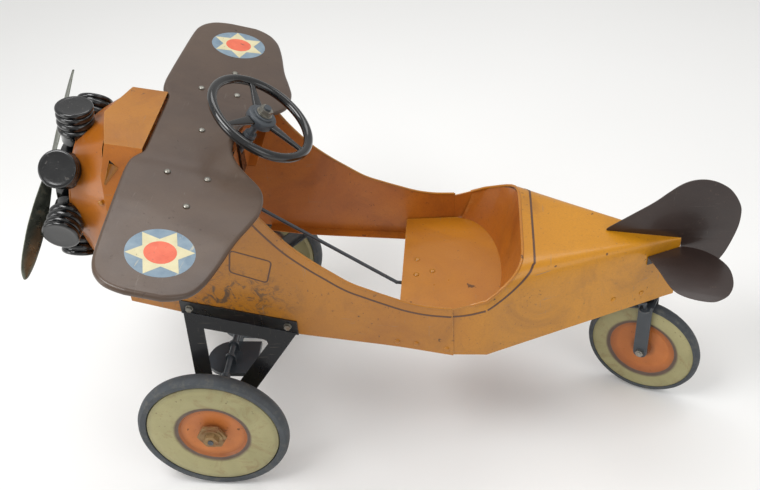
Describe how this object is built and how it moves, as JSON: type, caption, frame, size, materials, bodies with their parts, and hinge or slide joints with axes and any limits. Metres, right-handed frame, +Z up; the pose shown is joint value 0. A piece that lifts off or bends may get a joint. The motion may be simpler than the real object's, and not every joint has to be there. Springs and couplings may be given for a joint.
{
  "type": "pedal airplane",
  "caption": "Vintage pressed-steel pedal airplane with one wing, a dummy radial engine, a cranked pedal axle and a steered tail wheel.",
  "frame": {"origin": "on the ground, under the middle of the overall length, on the centre plane", "axes": "+X toward the tail, +Y toward the right wing as the rider sits, +Z up; -X is the nose"},
  "size_m": [1.14, 0.756, 0.6454],
  "materials": {
    "orange_paint": "satin, chipped",
    "brown_paint": "satin, worn edges",
    "black_enamel": "gloss",
    "grey_paint": "satin, scuffed",
    "cream_paint": "semi-gloss",
    "tyre_rubber": "matt",
    "worn_steel": "dull",
    "bearing_brass": "dull",
    "zinc_steel": "satin",
    "rusty_steel": "rusty"
  },
  "bodies": {
    "airframe": {"side_panel_left": "orange_paint", "side_panel_right": "orange_paint", "nose_cowl": "orange_paint", "engine_hood": "orange_paint", "hood_vents": "orange_paint", "crankcase": "black_enamel", "cylinder_1": "black_enamel", "cylinder_2": "black_enamel", "cylinder_3": "black_enamel", "cylinder_4": "black_enamel", "cylinder_5": "black_enamel", "cylinder_6": "black_enamel", "cylinder_7": "black_enamel", "propeller_bearing": "bearing_brass", "wing": "brown_paint", "wing_bolts": "zinc_steel", "dash_panel": "orange_paint", "column_bracket": "black_enamel", "column_crossbar": "black_enamel", "seat_pan": "orange_paint", "seat_back": "orange_paint", "seat_bolts": "orange_paint", "seat_crossbar": "black_enamel", "tail_shell": "orange_paint", "body_bolts": "orange_paint", "fin": "brown_paint", "stabilizer_left": "brown_paint", "stabilizer_right": "brown_paint", "gear_frame_left": "black_enamel", "gear_frame_right": "black_enamel", "axle_bush_left": "worn_steel", "axle_bush_right": "worn_steel", "gear_bolts": "zinc_steel", "tail_bracket": "black_enamel"},
    "prop": {"propeller": "worn_steel", "propeller_spindle": "worn_steel", "propeller_nut": "zinc_steel"},
    "steering": {"steering_wheel": "black_enamel", "steering_nut": "zinc_steel", "steering_column": "grey_paint", "column_arm": "grey_paint"},
    "rod": {"steering_rod": "grey_paint"},
    "fork": {"tail_fork": "grey_paint", "king_pin": "worn_steel", "tail_axle": "zinc_steel"},
    "tail_wheel_body": {"tail_wheel": "cream_paint", "tail_tyre": "tyre_rubber"},
    "drive": {"crank_axle": "grey_paint", "front_wheel_left": "cream_paint", "front_tyre_left": "tyre_rubber", "hub_washer_left": "rusty_steel", "axle_nut_left": "rusty_steel", "axle_nut_right": "rusty_steel"},
    "right_wheel_body": {"front_wheel_right": "cream_paint", "front_tyre_right": "tyre_rubber", "hub_washer_right": "rusty_steel"},
    "pedal_left_body": {"pedal_left": "grey_paint"},
    "pedal_right_body": {"pedal_right": "grey_paint"}
  },
  "joints": [
    {"name": "axle_spin", "type": "hinge", "parent": "airframe", "child": "drive", "pos_m": [-0.28946, 0, 0.127], "axis": [0, 1, 0], "continuous": true},
    {"name": "right_wheel_spin", "type": "hinge", "parent": "drive", "child": "right_wheel_body", "pos_m": [-0.28946, 0.2347, 0.127], "axis": [0, 1, 0], "continuous": true},
    {"name": "pedal_left_turn", "type": "hinge", "parent": "drive", "child": "pedal_left_body", "pos_m": [-0.27343, -0.108, 0.18482], "axis": [0, 1, 0], "continuous": true},
    {"name": "pedal_right_turn", "type": "hinge", "parent": "drive", "child": "pedal_right_body", "pos_m": [-0.30549, 0.108, 0.06918], "axis": [0, 1, 0], "continuous": true},
    {"name": "propeller_spin", "type": "hinge", "parent": "airframe", "child": "prop", "pos_m": [-0.49746, 0, 0.485], "axis": [-0.9903, 0, 0.1392], "continuous": true},
    {"name": "steering_turn", "type": "hinge", "parent": "airframe", "child": "steering", "pos_m": [-0.18476, 0, 0.5875], "axis": [0.5962, 0, 0.8028], "range_deg": [-4.4, 66]},
    {"name": "fork_turn", "type": "hinge", "parent": "airframe", "child": "fork", "pos_m": [0.44454, 0, 0.209], "axis": [0, 0, 1], "range_deg": [-3.4, 49.4]},
    {"name": "rod_shift", "type": "hinge", "parent": "airframe", "child": "rod", "pos_m": [0.43324, -0.01675, 1.438], "axis": [0, -1, 0], "range_deg": [-0.08, 1.06]},
    {"name": "tail_wheel_spin", "type": "hinge", "parent": "fork", "child": "tail_wheel_body", "pos_m": [0.44454, 0, 0.1005], "axis": [0.4179, 0.9085, 0], "continuous": true}
  ],
  "couplings": [
    {"joint": "pedal_left_turn", "follows": "axle_spin", "ratio": -1},
    {"joint": "pedal_right_turn", "follows": "axle_spin", "ratio": -1},
    {"joint": "fork_turn", "follows": "steering_turn", "ratio": 0.745},
    {"joint": "rod_shift", "follows": "steering_turn", "ratio": 0.0159}
  ]
}
